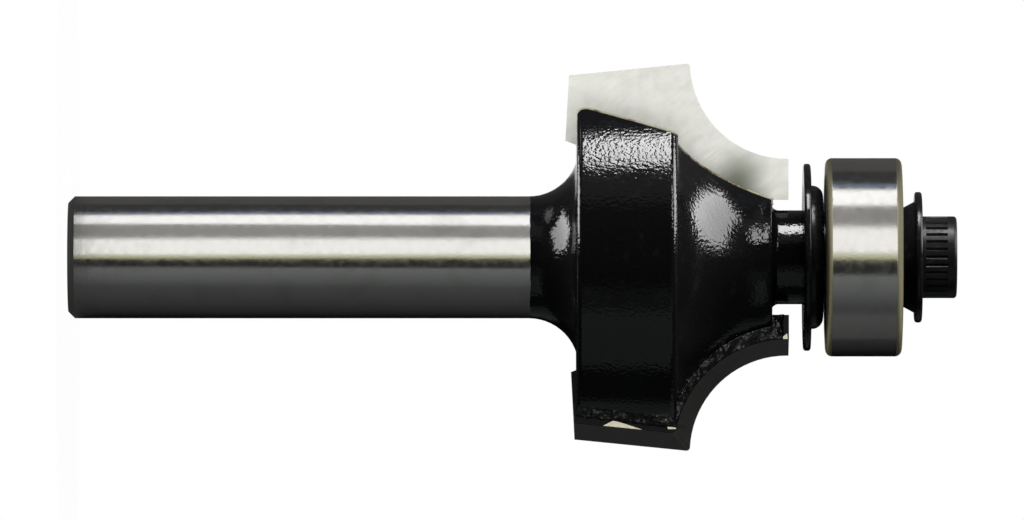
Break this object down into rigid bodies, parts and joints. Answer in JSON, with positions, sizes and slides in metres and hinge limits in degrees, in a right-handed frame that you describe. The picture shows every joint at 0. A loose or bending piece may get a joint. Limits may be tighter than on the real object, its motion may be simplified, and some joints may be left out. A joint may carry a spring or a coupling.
{
  "type": "router bit",
  "caption": "Rounding-over router bit: round shank, coated head with brazed carbide cutting tips, and a ball bearing pilot held by a cap screw.",
  "frame": {"origin": "centre of the shank's end face, on which the bit stands", "axes": "+Z along the axis of rotation, from the shank to the bearing pilot; wing 1 lies on the -X side with its rake face towards -Y; the bit cuts turning anticlockwise seen from +Z"},
  "size_m": [0.0254, 0.0232, 0.0582],
  "materials": {
    "coated_steel": "ground bright shank, black baked coat with fine orange peel on the head",
    "carbide": "diamond-ground tungsten carbide",
    "braze": "lumpy silver braze under black overspray",
    "black_oxide": "oiled black oxide",
    "bearing_steel": "ground and polished bearing steel",
    "seal_rubber": "moulded black rubber",
    "cage_polymer": "moulded cage"
  },
  "bodies": {
    "bit": {"bit_body": "coated_steel", "carbide_tip_1": "carbide", "carbide_tip_2": "carbide", "braze_joint_1": "braze", "braze_joint_2": "braze", "rear_washer": "black_oxide", "bearing_inner_ring": "bearing_steel", "front_washer": "black_oxide", "cap_screw": "black_oxide"},
    "outer_ring": {"bearing_outer_ring": "bearing_steel", "bearing_seal_rear": "seal_rubber", "bearing_seal_front": "seal_rubber"},
    "cage": {"ball_cage": "cage_polymer"},
    "ball_1": {"ball_1": "bearing_steel"},
    "ball_2": {"ball_2": "bearing_steel"},
    "ball_3": {"ball_3": "bearing_steel"},
    "ball_4": {"ball_4": "bearing_steel"},
    "ball_5": {"ball_5": "bearing_steel"},
    "ball_6": {"ball_6": "bearing_steel"},
    "ball_7": {"ball_7": "bearing_steel"}
  },
  "joints": [
    {"name": "outer_ring_spin", "type": "hinge", "parent": "bit", "child": "outer_ring", "pos_m": [0, 0, 0.05206], "axis": [0, 0, 1], "continuous": true},
    {"name": "cage_spin", "type": "hinge", "parent": "bit", "child": "cage", "pos_m": [0, 0, 0.05206], "axis": [0, 0, 1], "continuous": true},
    {"name": "ball_1_roll", "type": "hinge", "parent": "cage", "child": "ball_1", "pos_m": [0.00425, 0, 0.05206], "axis": [0, 0, 1], "continuous": true},
    {"name": "ball_2_roll", "type": "hinge", "parent": "cage", "child": "ball_2", "pos_m": [0.00265, 0.00332, 0.05206], "axis": [0, 0, 1], "continuous": true},
    {"name": "ball_3_roll", "type": "hinge", "parent": "cage", "child": "ball_3", "pos_m": [-0.00095, 0.00414, 0.05206], "axis": [0, 0, 1], "continuous": true},
    {"name": "ball_4_roll", "type": "hinge", "parent": "cage", "child": "ball_4", "pos_m": [-0.00383, 0.00184, 0.05206], "axis": [0, 0, 1], "continuous": true},
    {"name": "ball_5_roll", "type": "hinge", "parent": "cage", "child": "ball_5", "pos_m": [-0.00383, -0.00184, 0.05206], "axis": [0, 0, 1], "continuous": true},
    {"name": "ball_6_roll", "type": "hinge", "parent": "cage", "child": "ball_6", "pos_m": [-0.00095, -0.00414, 0.05206], "axis": [0, 0, 1], "continuous": true},
    {"name": "ball_7_roll", "type": "hinge", "parent": "cage", "child": "ball_7", "pos_m": [0.00265, -0.00332, 0.05206], "axis": [0, 0, 1], "continuous": true}
  ],
  "couplings": [
    {"joint": "cage_spin", "follows": "outer_ring_spin", "ratio": 0.64294},
    {"joint": "ball_1_roll", "follows": "outer_ring_spin", "ratio": 1.6398},
    {"joint": "ball_2_roll", "follows": "outer_ring_spin", "ratio": 1.6398},
    {"joint": "ball_3_roll", "follows": "outer_ring_spin", "ratio": 1.6398},
    {"joint": "ball_4_roll", "follows": "outer_ring_spin", "ratio": 1.6398},
    {"joint": "ball_5_roll", "follows": "outer_ring_spin", "ratio": 1.6398},
    {"joint": "ball_6_roll", "follows": "outer_ring_spin", "ratio": 1.6398},
    {"joint": "ball_7_roll", "follows": "outer_ring_spin", "ratio": 1.6398}
  ]
}
